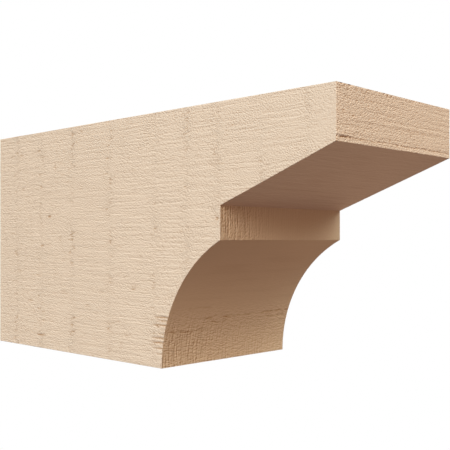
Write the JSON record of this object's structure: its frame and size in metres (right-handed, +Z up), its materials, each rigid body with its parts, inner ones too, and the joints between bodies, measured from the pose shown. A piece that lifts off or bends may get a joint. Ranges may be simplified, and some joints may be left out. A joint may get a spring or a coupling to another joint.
{
  "type": "rafter tail",
  "caption": "Rough-sawn timber rafter tail: a square-edged block whose outer end is cut to a tapered nose, an upright step and a hollow cove, fixed under an eave.",
  "frame": {"origin": "in the plane of the flat underside, at the middle of the overall length and of the width", "axes": "+Y out of the plain end that meets the wall, so the nose points along -Y; +X across the width; +Z up, out of the top face"},
  "size_m": [0.1524, 0.4064, 0.2032],
  "materials": {
    "timber": "rough-sawn softwood under a flat warm tan, no shine"
  },
  "bodies": {
    "root": {"rafter_tail": "timber"}
  },
  "joints": []
}
